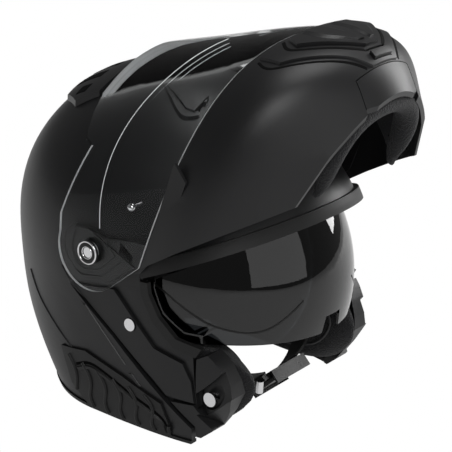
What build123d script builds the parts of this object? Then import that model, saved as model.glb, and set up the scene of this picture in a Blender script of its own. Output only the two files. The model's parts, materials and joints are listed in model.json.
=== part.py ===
"""Modular motorcycle helmet, with its chin bar and clear visor raised and its sun visor lowered.

Millimetres, +Z up, the face looks along -Y and the wearer's left is +X. The origin lies on the plane
that the helmet stands on, straight below the axis on which the chin bar turns.
"""

import os
from math import cos, radians, sin, sqrt

from build123d import *

os.makedirs("parts", exist_ok=True)

# Driving sizes of the shell
shell_half_width = 121.7
shell_half_length = 137.8
shell_rise = 124.6
shell_middle = 13.8
pivot_height = 144
widest_height = 136.7
shell_wall = 4
overrun = 40

# Fits and clearances
running_gap = 0.1
soft_gap = 0.4
moving_gap = 0.6
seat_gap = 0.2

# Inner lining
foam_wall = 28
crown_pad = 11
foam_foot = 24
cheek_inset = 18
cheek_top = 112
cheek_rear = 60
cheek_inner = 60
roll_foot = 6
roll_inset = 34

# Chin bar
open_angle = 74
arm_wall = 2.7
chin_wall = 4.5
facet_wall = 2
chin_half_width = 126.5
chin_front = 200
chin_top_drop = 46
chin_liner_wall = 13
arm_inner = 122.3

# Visor and its mechanism
visor_wall = 2.2
visor_half_width = 129.1
visor_front = 188
visor_foot_drop = 45.5
tab_radius = 31
base_wall = 1.2
ring_wall = 2

# Pivots
bush_radius = 5
bush_flange_radius = 9
bush_inner = 117.9
hub_radius = 7.6
ring_radius = 9.6
screw_radius = 4
shank_radius = 2.5

# Sun visor
sun_radius = 126
sun_half_width = 109.4
sun_wall = 2
sun_hinge_ahead = 12
sun_hinge_drop = 43
sun_pin_radius = 3

# Side plates, end caps and latch
recess_depth = 4.6
recess_wall = 4
plate_outer_inset = 1.8
plate_inner_inset = 4.3
stud_radius = 5
stud_face = 116.3
latch_neck_radius = 3.2
latch_head_radius = 5.6
latch_head_wall = 3.4
latch_pin_face = 99.4
latch_ahead = 97.4
latch_drop = 99.8
latch_plate_wall = 1.8
latch_plate_inner = 93.8

# Strap
strap_width = 24
strap_wall = 1.8
anchor_ahead = 38
anchor_drop = 70
rivet_radius = 4
rivet_head_radius = 7
rivet_head_wall = 2
rivet_inner = 93
buckle_length = 36
buckle_width = 30
buckle_depth = 9

# Shares that shape the outlines
round_share = 0.5523
full_turn = 360

# Height over the pivot height, half width over the widest, reach ahead and behind over the half length, corner
shell_level_shares = (
    (0, 0.800, 1.150, 0.480, 0.78),
    (0.021, 0.868, 1.195, 0.657, 0.78),
    (0.200, 0.912, 1.247, 0.800, 0.78),
    (0.444, 0.953, 1.247, 0.930, 0.78),
    (0.722, 0.986, 1.116, 0.985, 0.76),
    (1.000, 0.998, 1.040, 0.998, 0.72),
    (1.229, 0.947, 0.990, 0.947, 0.62),
    (1.417, 0.841, 0.845, 0.841, round_share),
)
dome_shares = (0.70, 0.82, 0.91, 0.97, 0.993)


def outline_face(plane, half_width, ahead, behind, middle, corner_share, rear_share=round_share):
    """Return a plan outline of four tangent curves, square in front by its corner share."""
    a = half_width
    c = corner_share
    r = rear_share
    with BuildSketch(plane) as outline:
        with BuildLine():
            Bezier((a, middle), (a, middle + behind * r), (a * r, middle + behind), (0, middle + behind))
            Bezier((0, middle + behind), (-a * r, middle + behind), (-a, middle + behind * r), (-a, middle))
            Bezier((-a, middle), (-a, middle - ahead * c), (-a * c, middle - ahead), (0, middle - ahead))
            Bezier((0, middle - ahead), (a * c, middle - ahead), (a, middle - ahead * c), (a, middle))
        make_face()
    return outline.sketch


def shell_body(inset):
    """Return the solid inside the shell's outer surface, drawn in by an inset."""
    sections = []
    for height, width, ahead, behind, corner in shell_level_shares:
        level = height * pivot_height if height else -overrun / 2 - inset
        sections.append(
            outline_face(
                Plane.XY.offset(level),
                width * shell_half_width - inset,
                ahead * shell_half_length - inset,
                behind * shell_half_length - inset,
                shell_middle,
                corner,
            )
        )
    rise = shell_rise - inset
    for share in dome_shares:
        spread = sqrt(1 - share**2)
        reach = (shell_half_length - inset) * spread
        sections.append(
            outline_face(
                Plane.XY.offset(widest_height + rise * share),
                (shell_half_width - inset) * spread,
                reach,
                reach,
                shell_middle,
                round_share,
            )
        )
    with BuildPart() as body:
        loft(sections + [Vertex(0, shell_middle, widest_height + rise)])
    return body.part


def prism(plane, points, near, far):
    """Return a closed polygon on a plane, extruded from one offset to another."""
    with BuildPart() as block:
        with BuildSketch(plane.offset(near)):
            with BuildLine():
                Polyline(*points, close=True)
            make_face()
        extrude(amount=far - near)
    return block.part


def disc(plane, centre, radius, near, far):
    """Return a cylinder that stands on a plane, between two offsets."""
    with BuildPart() as block:
        with BuildSketch(plane.offset(near)):
            with Locations(centre):
                Circle(radius)
        extrude(amount=far - near)
    return block.part


def scaled(shares, size, lift=0):
    """Return points that are shares of one size."""
    return [(across * size, up * size + lift) for across, up in shares]


def save(part, name):
    """Label a finished piece and write it."""
    part.label = name
    export_step(part, f"parts/{name}.step")
    return part


def save_pair(left, name):
    """Write a left piece and its mirror image on the right."""
    save(left, f"{name}_left")
    return save(mirror(left, Plane.YZ), f"{name}_right")


# Frames: the side view, and the chin bar's own frame, level when it is shut
pivot = Vector(0, 0, pivot_height)
turn = radians(open_angle)
side_view = Plane.YZ
raised = Plane(origin=pivot, x_dir=(1, 0, 0), z_dir=(0, sin(turn), cos(turn)))
raised_side = Plane(origin=pivot, x_dir=(0, cos(turn), -sin(turn)), z_dir=(1, 0, 0))
reach_out = shell_half_width + overrun

# Outer surfaces that several pieces share
outer_body = shell_body(0)

# Face opening in side view, ahead of and above the pivots, over the pivot height
face_shares = (
    (-1.25, 0.395),
    (-0.278, -0.056),
    (-0.292, -0.174),
    (-0.361, -0.313),
    (-0.486, -0.430),
    (-0.575, -0.452),
    (-0.598, -0.764),
    (-0.575, -0.889),
    (-0.555, -1.2),
    (-1.5, -1.2),
    (-1.5, 0.395),
)
face_points = scaled(face_shares, pivot_height, pivot_height)
face_cut = prism(side_view, face_points, -reach_out, reach_out)

# Recess for the side plates, below and ahead of the diagonal step
recess_shares = (
    (0.190, -0.245),
    (-0.100, -0.470),
    (-0.585, -0.910),
    (-0.650, -1.2),
    (-1.5, -1.2),
    (-1.5, -0.140),
    (-0.070, -0.140),
)
recess_points = scaled(recess_shares, pivot_height, pivot_height)


def recess_zone(margin):
    """Return the recess in side view, grown by a margin and run through the helmet."""
    with BuildPart() as zone:
        with BuildSketch(side_view.offset(-reach_out)):
            with BuildLine():
                Polyline(*recess_points, close=True)
            make_face()
            if margin:
                offset(amount=margin, kind=Kind.INTERSECTION)
        extrude(amount=2 * reach_out)
    return zone.part


trim_height = 3
bush_bore = disc(side_view, (0, pivot_height), bush_flange_radius + running_gap, -reach_out, reach_out)


def side_disc(y, z, radius, near, far):
    """Return a cylinder across the helmet, centred at a distance ahead of and above the pivot axis."""
    return disc(side_view, (y, pivot_height + z), radius, near, far)


def side_block(shares, near, far):
    """Return a prism across the helmet from side-view shares of the pivot height."""
    return prism(side_view, scaled(shares, pivot_height, pivot_height), near, far)


def plan_block(shares):
    """Return an upright prism over the crown from shares of the half width, mirrored to both sides."""
    half = scaled(shares, shell_half_width)
    other = [(-x, y) for x, y in reversed(half) if x]
    return prism(Plane.XY, half + other, pivot_height, pivot_height + 2 * overrun + shell_rise)


def below(height):
    """Return everything under a height."""
    wide = 2 * reach_out
    return prism(side_view, ((-wide, -wide), (wide, -wide), (wide, height), (-wide, height)), -reach_out, reach_out)


slider_slot_shares = ((-0.305, -0.662), (-0.080, -0.662), (-0.080, -0.630), (-0.305, -0.630))


def make_shell():
    """Return the moulded shell: a thin wall, stepped in round the side plates."""
    inner_face = recess_depth + recess_wall
    jacket = recess_zone(recess_wall) - shell_body(inner_face)
    cavity = shell_body(shell_wall) - jacket
    recess = recess_zone(0) - shell_body(recess_depth)
    slot = side_block(slider_slot_shares, 0, reach_out)
    shell = outer_body - cavity - recess - face_cut - below(trim_height) - bush_bore - slot
    return shell.solids().sort_by(SortBy.VOLUME)[-1]


outer_shell = save(make_shell(), "outer_shell")


# Sun visor: part of an egg turned about its own hinge, so that it slides along itself into the foam
sun_hinge = Vector(0, -sun_hinge_ahead, pivot_height - sun_hinge_drop)
sun_side = Plane(origin=sun_hinge, x_dir=(0, 1, 0), z_dir=(1, 0, 0))
sun_slot = 3.2
sun_hub_radius = 11


def sun_egg(inset):
    """Return the egg of revolution about the sun visor's hinge, drawn in by an inset."""
    width = sun_half_width - inset
    radius = sun_radius - inset
    with BuildPart() as egg:
        with BuildSketch(Plane(origin=sun_hinge, x_dir=(1, 0, 0), z_dir=(0, 0, 1))):
            with BuildLine():
                Bezier((width, 0), (width, radius * round_share), (width * round_share, radius), (0, radius))
                Bezier((0, radius), (-width * round_share, radius), (-width, radius * round_share), (-width, 0))
                Line((-width, 0), (width, 0))
            make_face()
        revolve(axis=Axis(sun_hinge, (1, 0, 0)), revolution_arc=full_turn)
    return egg.part


sun_outline_shares = (
    (-1.30, -0.150),
    (-0.365, -0.150),
    (-0.270, -0.060),
    (0, -0.087),
    (0, 0.087),
    (-0.220, 0.190),
    (-0.420, 0.305),
    (-1.30, 0.945),
)
sun_travel_shares = (
    (0, -0.120),
    (-1.50, -0.560),
    (-1.60, 0.300),
    (-1.30, 1.200),
    (-0.340, 1.580),
    (0.080, 0.100),
)
notch_shares = ((-0.115, -0.30), (0.115, -0.30), (0.075, -0.040), (-0.075, -0.040))


def make_sun_visor():
    """Return the smoked inner shield with its two arms and the notch over the nose."""
    blank = prism(sun_side, scaled(sun_outline_shares, sun_radius), -sun_half_width, sun_half_width)
    hub = disc(sun_side, (0, 0), sun_hub_radius, -sun_half_width, sun_half_width)
    pin_hole = disc(sun_side, (0, 0), sun_pin_radius + running_gap, -sun_half_width, sun_half_width)
    front = Plane(origin=sun_hinge, x_dir=(1, 0, 0), z_dir=(0, -1, 0))
    notch = prism(front, scaled(notch_shares, sun_radius), 0, 2 * sun_radius)
    shield = (blank + hub) & (sun_egg(0) - sun_egg(sun_wall))
    return shield - pin_hole - notch


sun_visor = save(make_sun_visor(), "sun_visor")

# Foam liner: thinned in front for the sun visor, and hollowed at the cheeks for the pads
inner_step = recess_depth + recess_wall + seat_gap
foam_inset = shell_wall + seat_gap
lining_inset = foam_inset + foam_wall
cheek_zone = prism(
    side_view,
    ((-reach_out, -overrun), (cheek_rear, -overrun), (cheek_rear, cheek_top), (-reach_out, cheek_top)),
    -reach_out,
    reach_out,
)


def make_foam():
    """Return the foam liner."""
    step = recess_zone(recess_wall + seat_gap) - shell_body(inner_step)
    travel = prism(sun_side, scaled(sun_travel_shares, sun_radius), -reach_out, reach_out) - sun_egg(sun_slot)
    hub = disc(sun_side, (0, 0), sun_hub_radius + soft_gap, -reach_out, reach_out) - sun_egg(sun_slot)
    foam = shell_body(foam_inset) - shell_body(lining_inset) - step - travel - hub
    foam = foam - (cheek_zone & shell_body(cheek_inset)) - face_cut - below(foam_foot)
    bores = side_disc(-sun_hinge_ahead, -sun_hinge_drop, sun_pin_radius + running_gap, -reach_out, reach_out)
    foam = foam - bores - side_disc(-anchor_ahead, -anchor_drop, rivet_radius + running_gap, -reach_out, reach_out)
    return foam.solids().sort_by(SortBy.VOLUME)[-1]


eps_liner = save(make_foam(), "eps_liner")

# Crown lining
crown_inset = lining_inset + 2 * soft_gap


def make_crown_liner():
    """Return the removable lining of the crown, open below."""
    lining = shell_body(crown_inset) - shell_body(crown_inset + crown_pad) - face_cut
    lining = lining - below(cheek_top + soft_gap)
    return lining.solids().sort_by(SortBy.VOLUME)[-1]


crown_liner = save(make_crown_liner(), "crown_liner")

# Chin strap: a flat band from a rivet at each side to the buckle under the chin
strap_plane = Plane(
    origin=(0, -anchor_ahead, pivot_height - anchor_drop),
    x_dir=(1, 0, 0),
    z_dir=(0, 0.69, -0.72),
)
strap_shares = ((0.783, -0.07), (0.776, 0.06), (0.690, 0.22), (0.500, 0.40), (0.300, 0.505), (0.175, 0.540))


def strap_band(wall, width):
    """Return the left half of the chin strap for a thickness and a width."""
    points = scaled(strap_shares, shell_half_width)
    near_side = []
    far_side = []
    for index, (x, down) in enumerate(points):
        before = points[max(index - 1, 0)]
        after = points[min(index + 1, len(points) - 1)]
        run = Vector(after[0] - before[0], after[1] - before[1]).normalized()
        near_side.append((x - run.Y * wall / 2, down + run.X * wall / 2))
        far_side.append((x + run.Y * wall / 2, down - run.X * wall / 2))
    with BuildPart() as band:
        with BuildSketch(strap_plane.offset(-width / 2)):
            with BuildLine():
                Spline(*near_side)
                Line(near_side[-1], far_side[-1])
                Spline(*reversed(far_side))
                Line(far_side[0], near_side[0])
            make_face()
        extrude(amount=width)
    return band.part


strap = strap_band(strap_wall, strap_width)
strap = strap - side_disc(-anchor_ahead, -anchor_drop, rivet_radius + running_gap, 0, reach_out)
save_pair(strap, "strap")

# Rivets that hold the strap to the foam and the shell
rivet = side_disc(-anchor_ahead, -anchor_drop, rivet_radius, rivet_inner, reach_out) & shell_body(inner_step)
rivet = rivet + side_disc(-anchor_ahead, -anchor_drop, rivet_head_radius, rivet_inner - rivet_head_wall, rivet_inner)
save_pair(rivet, "strap_rivet")


# Cheek pads: crowned, drawn in towards both faces
pad_share_points = (
    (-0.42, -0.48),
    (-0.78, -0.56),
    (-0.855, -0.65),
    (-0.78, -0.80),
    (-0.64, -0.895),
    (-0.14, -0.93),
    (0.30, -0.89),
    (0.385, -0.62),
    (0.34, -0.35),
    (0.07, -0.28),
    (-0.24, -0.35),
)
pad_middle_shares = (-0.20, -0.62)
pad_depth_shares = ((0, 0.80), (0.16, 0.93), (0.50, 1.0), (1.0, 1.0))


def pad_section(distance, size_share):
    """Return the cheek pad's outline at a distance from the middle plane."""
    centre_y, centre_z = pad_middle_shares
    points = []
    for across, up in pad_share_points:
        y = centre_y + (across - centre_y) * size_share
        z = centre_z + (up - centre_z) * size_share
        points.append((y * pivot_height, z * pivot_height + pivot_height))
    with BuildSketch(side_view.offset(distance)) as outline:
        with BuildLine():
            Spline(*points, periodic=True)
        make_face()
    return outline.sketch


def make_cheek_pad():
    """Return the left cheek pad, its back shaped by the foam behind it."""
    depth = shell_half_width - cheek_inset - cheek_inner
    with BuildPart() as pad:
        loft([pad_section(cheek_inner + depth * share, size) for share, size in pad_depth_shares])
    return pad.part & shell_body(cheek_inset + soft_gap)


cheek_pad = make_cheek_pad() - strap_band(strap_wall + 4 * soft_gap, strap_width + 4 * soft_gap)
rivet_room = rivet_inner - rivet_head_wall - soft_gap
cheek_pad = cheek_pad - side_disc(-anchor_ahead, -anchor_drop, rivet_head_radius + soft_gap, rivet_room, reach_out)
save_pair(cheek_pad.solids().sort_by(SortBy.VOLUME)[-1], "cheek_pad")

# Neck roll round the back of the opening
roll_zone = prism(
    side_view,
    (
        (cheek_rear - soft_gap, roll_foot),
        (reach_out * 2, roll_foot),
        (reach_out * 2, foam_foot - soft_gap),
        (cheek_rear - soft_gap, foam_foot - soft_gap),
    ),
    -reach_out,
    reach_out,
)
neck_roll = save((shell_body(shell_wall + soft_gap) - shell_body(roll_inset)) & roll_zone, "neck_roll")

# Rubber edging under the shell
trim_lip = 1.2
trim_band = shell_body(-trim_lip) - shell_body(shell_wall + trim_lip)
base_trim = save((trim_band & below(trim_height - running_gap)) - below(0) - face_cut, "base_trim")

# Rubber seal along the brow, above and below the edge of the shell
brow_outer_shares = ((-0.312, -0.072), (-0.275, -0.008), (-1.25, 0.440), (-1.25, 0.365))
brow_inner_shares = ((-0.300, -0.047), (-0.312, -0.072), (-1.25, 0.365), (-1.25, 0.393))
brow_outer = side_block(brow_outer_shares, -reach_out, reach_out) & (shell_body(-chin_wall) - shell_body(-seat_gap))
brow_inner = side_block(brow_inner_shares, -reach_out, reach_out) & (shell_body(-chin_wall / 2) - shell_body(shell_wall))
brow_seal = save(brow_outer + brow_inner, "brow_seal")


# Rubber lips down each side of the face opening
port_lip = 1
port_seal_shares = (
    (-0.289, -0.100),
    (-0.297, -0.174),
    (-0.366, -0.309),
    (-0.490, -0.426),
    (-0.612, -0.453),
    (-0.640, -0.400),
    (-0.500, -0.372),
    (-0.400, -0.275),
    (-0.340, -0.160),
    (-0.330, -0.100),
)
port_side = prism(side_view, scaled(port_seal_shares, pivot_height, pivot_height), 0, reach_out)
port_seal = port_side & (shell_body(-port_lip) - shell_body(shell_wall - port_lip))
save_pair(port_seal, "port_seal")

# Side plates: flush covers below the pivots, each with a bright stud
plate_skin = shell_body(plate_outer_inset) - shell_body(plate_inner_inset)
plate_shares = (
    (0.165, -0.250),
    (-0.111, -0.201),
    (-0.257, -0.361),
    (-0.361, -0.472),
    (-0.530, -0.514),
    (-0.580, -0.611),
    (-0.592, -0.736),
    (-0.430, -0.736),
    (-0.361, -0.668),
    (-0.110, -0.460),
)
stud_ahead = 31
stud_drop = 54
stud_hole = side_disc(-stud_ahead, -stud_drop, stud_radius + moving_gap, 0, reach_out)
plate = (prism(side_view, scaled(plate_shares, pivot_height, pivot_height), 0, reach_out) & plate_skin) - stud_hole
save_pair(plate, "side_plate")
stud = side_disc(-stud_ahead, -stud_drop, stud_radius, bush_inner - 2 * stud_radius, stud_face)
save_pair(stud - shell_body(recess_depth - seat_gap), "plate_stud")

# End caps: the blocks at the ends of the face opening that the chin bar shuts over
cap_skin_shares = (
    (-0.455, -0.765),
    (-0.610, -0.750),
    (-0.665, -0.755),
    (-0.665, -0.790),
    (-0.612, -0.920),
    (-0.590, -0.890),
)
cap_block_shares = (
    (-0.607, -0.470),
    (-0.661, -0.437),
    (-0.694, -0.465),
    (-0.732, -0.515),
    (-0.774, -0.599),
    (-0.790, -0.670),
    (-0.753, -0.768),
    (-0.718, -0.834),
    (-0.676, -0.898),
    (-0.6125, -0.956),
    (-0.588, -0.955),
    (-0.588, -0.889),
    (-0.607, -0.764),
)
cap_block_inset = 16
pin_centre = (-latch_ahead, pivot_height - latch_drop)
cap_hollow_length = 13
cap_hollow_height = 7.5
cap_hollow_depth = 9.5
hook_room = 9.2
hook_room_shares = ((0, 0), (-0.880, -1.126), (-1.40, -1.126), (-1.40, 0))
cap_sweep_shares = ((0.4985, 0.725), (0.387, 0.815), (0.700, 0.815), (0.700, 0.725))
sweep_side_shares = (
    (-0.050, -0.240),
    (-0.350, -0.499),
    (-0.505, -0.648),
    (-1.30, -0.690),
    (-1.30, -0.240),
)


def pivot_ring(section_shares):
    """Return a ring about the pivot axis from a section given across the helmet and away from the axis."""
    with BuildPart() as ring:
        with BuildSketch(Plane(origin=pivot, x_dir=(1, 0, 0), z_dir=(0, -1, 0))):
            with BuildLine():
                Polyline(*scaled(section_shares, chin_front), close=True)
            make_face()
        revolve(axis=Axis(pivot, (1, 0, 0)), revolution_arc=full_turn)
    return ring.part


def make_end_cap():
    """Return the left end cap with the almond hollow round its latch pin and room for the bar's hook."""
    skin = prism(side_view, scaled(cap_skin_shares, pivot_height, pivot_height), 0, reach_out) & plate_skin
    block = prism(side_view, scaled(cap_block_shares, pivot_height, pivot_height), 0, reach_out)
    block = block & (shell_body(plate_outer_inset) - shell_body(cap_block_inset))
    with BuildPart() as hollow:
        with BuildSketch(side_view):
            with Locations(pin_centre):
                Ellipse(cap_hollow_length, cap_hollow_height, rotation=-60)
        extrude(amount=reach_out)
    cap = block + skin - (hollow.part - shell_body(cap_hollow_depth))
    reach = sqrt(latch_ahead**2 + latch_drop**2)
    room = side_disc(0, 0, reach + hook_room, latch_plate_inner - moving_gap, reach_out)
    room = room - side_disc(0, 0, reach - hook_room, 0, reach_out)
    cap = cap - (room & side_block(hook_room_shares, 0, reach_out))
    sweep_side = prism(side_view, scaled(sweep_side_shares, chin_front, pivot_height), 0, reach_out)
    cap = cap - (pivot_ring(cap_sweep_shares) & sweep_side)
    cap = cap.solids().sort_by(SortBy.VOLUME)[-1]
    pin_bore = disc(side_view, pin_centre, latch_neck_radius + running_gap, 0, reach_out)
    return cap - pin_bore


end_cap = make_end_cap()
save_pair(end_cap, "end_cap")

# Latch pins that the chin bar catches
pin_neck = disc(side_view, pin_centre, latch_neck_radius, 0, latch_pin_face) - shell_body(cap_block_inset)
pin_head = disc(side_view, pin_centre, latch_head_radius, latch_pin_face - latch_head_wall, latch_pin_face)
save_pair(pin_neck + pin_head, "latch_pin")

# Rubber panels along the lower edge, ribbed in waves
panel_wall = 2
panel_shares = (
    (0.275, -0.660),
    (0.083, -0.625),
    (-0.167, -0.695),
    (-0.410, -0.785),
    (-0.455, -0.925),
    (-0.455, -0.978),
    (0.100, -0.978),
    (0.215, -0.880),
)
panel_side = prism(side_view, scaled(panel_shares, pivot_height, pivot_height), 0, reach_out)
save_pair(panel_side & (shell_body(-panel_wall) - shell_body(-running_gap)), "neck_panel")

# Slider for the sun visor, low on the left side
slider_stem_shares = ((-0.300, -0.658), (-0.240, -0.658), (-0.240, -0.634), (-0.300, -0.634))
slider_knob_shares = ((-0.318, -0.664), (-0.222, -0.664), (-0.222, -0.602), (-0.318, -0.602))
slider_knob_wall = 3.4
slider_lift = 1
slider_skin = shell_body(-slider_knob_wall) - shell_body(-slider_lift)
slider_knob = side_block(slider_knob_shares, 0, reach_out) & slider_skin
slider_stem = side_block(slider_stem_shares, 0, reach_out) & (shell_body(-slider_lift) - shell_body(shell_wall / 2))
save(slider_knob + slider_stem, "sun_visor_slider")

# Pins on which the sun visor turns
sun_pin = side_disc(-sun_hinge_ahead, -sun_hinge_drop, sun_pin_radius, sun_half_width - 2 * sun_pin_radius, reach_out)
save_pair(sun_pin & shell_body(inner_step), "sun_visor_pin")

# Crown vent: a V of two arms with a slider at its point
vent_wall = 4
crown_vent_shares = (
    (0, 0.370),
    (0.090, 0.340),
    (0.240, 0.190),
    (0.362, 0),
    (0.444, -0.214),
    (0.430, -0.272),
    (0.279, -0.263),
    (0.300, -0.200),
    (0.250, -0.080),
    (0.080, 0.130),
    (0, 0.190),
)
vent_skin = shell_body(-vent_wall) - shell_body(-seat_gap)
crown_vent = save(plan_block(crown_vent_shares) & vent_skin, "crown_vent")
vent_slider_shares = ((0, 0.150), (0.066, 0.080), (0.085, -0.010), (0, -0.030))
vent_slider_skin = shell_body(-vent_wall) - shell_body(-moving_gap)
save(plan_block(vent_slider_shares) & vent_slider_skin, "crown_vent_slider")

# Rear vent: a low spoiler behind the crown
rear_vent_shares = ((0, 0.470), (0.240, 0.430), (0.500, 0.440), (0.545, 0.600), (0.400, 0.800), (0, 0.900))
save(plan_block(rear_vent_shares) & vent_skin, "rear_vent")

# Ball studs that hold the visor seal to the brow
ball_radius = 3.4
ball_neck_radius = 2
ball_centre_x = 117
ball_ahead = 29.6
ball_rise = 40.2
ball_neck = side_disc(-ball_ahead, ball_rise, ball_neck_radius, 0, ball_centre_x) - shell_body(-running_gap)
with BuildPart() as ball:
    with Locations((ball_centre_x, -ball_ahead, pivot_height + ball_rise)):
        Sphere(ball_radius)
save_pair(ball_neck + ball.part, "ball_stud")

# Pivots: a steel bush in the shell, and the screw that holds each side together
pivot_in = Plane.YZ
bush = side_disc(0, 0, bush_flange_radius, bush_inner, arm_inner - soft_gap)
bush = bush + side_disc(0, 0, bush_radius, bush_inner, visor_half_width - visor_wall - moving_gap)
save_pair(bush - side_disc(0, 0, shank_radius + running_gap, 0, reach_out), "pivot_bush")
ring_inner = visor_half_width + seat_gap
screw = side_disc(0, 0, screw_radius, ring_inner, ring_inner + ring_wall - soft_gap)
save_pair(screw + side_disc(0, 0, shank_radius, bush_inner + shank_radius, ring_inner), "pivot_screw")


# Chin bar and everything it carries, drawn as if shut, on planes that stand raised by the open angle
chin_level_shares = (
    (-0.150, 1.012, 0.890, 0.74),
    (-0.230, 1.012, 0.935, 0.74),
    (-0.465, 1.000, 0.997, 0.70),
    (-0.557, 0.925, 0.975, 0.60),
    (-0.655, 0.850, 0.900, 0.52),
    (-0.760, 0.780, 0.800, 0.48),
)
raised_front = Plane(origin=pivot, x_dir=(1, 0, 0), z_dir=(0, -cos(turn), sin(turn)))


def bow_face(plane, half_width, ahead, corner_share, behind):
    """Return an outline with a bowed front and straight sides that run back."""
    a = half_width
    c = corner_share
    with BuildSketch(plane) as outline:
        with BuildLine():
            Bezier((-a, 0), (-a, -ahead * c), (-a * c, -ahead), (0, -ahead))
            Bezier((0, -ahead), (a * c, -ahead), (a, -ahead * c), (a, 0))
            Polyline((a, 0), (a, behind), (-a, behind), (-a, 0))
        make_face()
    return outline.sketch


def chin_body(inset):
    """Return the solid inside the chin bar's outer surface, drawn in by an inset."""
    sections = []
    top, foot = chin_level_shares[0][0], chin_level_shares[-1][0]
    for drop, width, ahead, corner in chin_level_shares:
        stagger = inset if drop == top else -inset if drop == foot else 0
        sections.append(
            bow_face(
                raised.offset(drop * chin_front + stagger),
                width * chin_half_width - inset,
                ahead * chin_front - inset,
                corner,
                overrun,
            )
        )
    with BuildPart() as body:
        loft(sections)
    return body.part


def chin_side(shares, near, far):
    """Return a prism across the helmet in the chin bar's own frame."""
    return prism(raised_side, scaled(shares, chin_front), near, far)


def chin_disc(y, z, radius, near, far):
    """Return a cylinder across the helmet in the chin bar's own frame."""
    return disc(raised_side, (y, z), radius, near, far)


def chin_face(shares):
    """Return a prism along the chin bar's own front direction, mirrored to both sides."""
    half = scaled(shares, chin_front)
    other = [(-x, z) for x, z in reversed(half) if x]
    return prism(raised_front, half + other, chin_front / 2, chin_front + overrun)


chin_shares = (
    (-0.065, -0.230),
    (-0.225, -0.365),
    (-0.3575, -0.485),
    (-0.5125, -0.630),
    (-0.765, -0.650),
    (-0.900, -0.655),
    (-1.30, -0.655),
    (-1.30, -0.230),
)
arm_shares = (
    (-0.055, 0.105),
    (-0.075, -0.040),
    (-0.130, -0.140),
    (-0.165, -0.230),
    (-0.520, -0.230),
    (-0.475, -0.300),
    (-0.200, -0.290),
    (-0.040, -0.230),
    (0.065, -0.090),
    (0.125, 0.005),
    (0.050, 0.075),
)
bar_sweep_shares = ((0, 0.640), (0.5015, 0.640), (0.5015, 0.724), (0.390, 0.815), (0, 0.815))
bar_sweep_side_shares = ((0, 0), (-0.725, -0.688), (-0.500, -1.20), (0, -1.20))
boss_shares = ((-0.585, -0.460), (-0.625, -0.480), (-0.640, -0.425), (-0.595, -0.390))
lever_window_shares = ((0, -0.562), (0.176, -0.562), (0.176, -0.720), (0, -0.720))
clip_window_shares = ((-0.105, -0.110), (-0.060, -0.115), (-0.045, -0.175), (-0.085, -0.180))


def facet_block(inset):
    """Return the half of space outside the flat facet low on the left of the chin bar."""
    top = Vector(chin_half_width * 1.018, -0.361 * chin_front, -0.4965 * chin_front)
    front = Vector(chin_half_width * 0.4506, -0.7685 * chin_front, -0.6615 * chin_front)
    back = Vector(chin_half_width * 0.6387, -0.516 * chin_front, -0.6415 * chin_front)
    normal = (front - top).cross(back - top).normalized()
    if normal.X < 0:
        normal = normal * -1
    centre = raised.from_local_coords((top + front + back) * (1 / 3) - normal * inset)
    outward = raised.from_local_coords(normal) - raised.origin
    with BuildPart() as block:
        with BuildSketch(Plane(origin=centre, z_dir=outward)):
            Rectangle(3 * chin_front, 3 * chin_front)
        extrude(amount=overrun * 3)
    return block.part + mirror(block.part, Plane.YZ)


def make_chin_bar():
    """Return the chin bar with its two arms, latch bosses and lever window."""
    outer = chin_body(0) - facet_block(0)
    inner = chin_body(chin_wall) - facet_block(facet_wall)
    bar = (outer - inner) & chin_side(chin_shares, -reach_out, reach_out)
    arm = chin_side(arm_shares, arm_inner, arm_inner + arm_wall)
    boss = chin_side(boss_shares, latch_plate_inner + latch_plate_wall + seat_gap, reach_out)
    boss = boss & (chin_body(chin_wall / 2) - facet_block(chin_wall / 2))
    side = arm + boss - chin_side(clip_window_shares, 0, reach_out)
    side = side - chin_disc(0, 0, bush_radius + running_gap, 0, reach_out)
    sweep = pivot_ring(bar_sweep_shares) & chin_side(bar_sweep_side_shares, 0, reach_out)
    bar = bar - sweep - mirror(sweep, Plane.YZ)
    return bar + side + mirror(side, Plane.YZ) - chin_face(lever_window_shares)


chin_bar = save(make_chin_bar(), "chin_bar")

# Foam and lining inside the chin bar
chin_liner_shares = ((-0.700, -0.300), (-0.700, -0.530), (-1.20, -0.530), (-1.20, -0.300))
chin_liner_inset = chin_wall + soft_gap
chin_liner = chin_body(chin_liner_inset) - facet_block(chin_liner_inset)
chin_liner = chin_liner - chin_body(chin_liner_inset + chin_liner_wall)
save(chin_liner & chin_side(chin_liner_shares, -reach_out, reach_out), "chin_liner")
roll_path_shares = ((0.262, -0.500), (0.250, -0.600), (0.240, -0.710), (0.150, -0.805), (0, -0.835))
roll_height_share = -0.610
roll_half_height = 10
roll_half_wall = 8.5
roll_end_shares = (0.30, 0.80, 1, 1, 1)


def roll_section(index, side):
    """Return one oval section of the padded roll in the chin bar's own frame."""
    x, y = roll_path_shares[index]
    last = len(roll_path_shares) - 1
    ahead = roll_path_shares[min(index + 1, last)]
    behind = roll_path_shares[max(index - 1, 0)]
    run = Vector((ahead[0] - behind[0]) * side, ahead[1] - behind[1], 0)
    if index == last:
        run = Vector(-side, 0, 0)
    centre = raised.from_local_coords(Vector(x * side, y, roll_height_share) * chin_front)
    along = raised.from_local_coords(run) - raised.origin
    upward = raised.z_dir
    across = upward.cross(along)
    size = roll_end_shares[index]
    with BuildSketch(Plane(origin=centre, x_dir=across, z_dir=along)) as oval:
        Ellipse(roll_half_wall * size, roll_half_height * size)
    return oval.sketch


def make_chin_pad():
    """Return the padded roll along the chin bar's lower edge."""
    count = len(roll_path_shares)
    left = [roll_section(index, 1) for index in range(count)]
    right = [roll_section(index, -1) for index in reversed(range(count - 1))]
    for number, oval in enumerate(right):
        right[number] = mirror(left[count - 2 - number], Plane.YZ)
    with BuildPart() as roll:
        loft(left + right)
    return roll.part


save(make_chin_pad(), "chin_pad")

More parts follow.
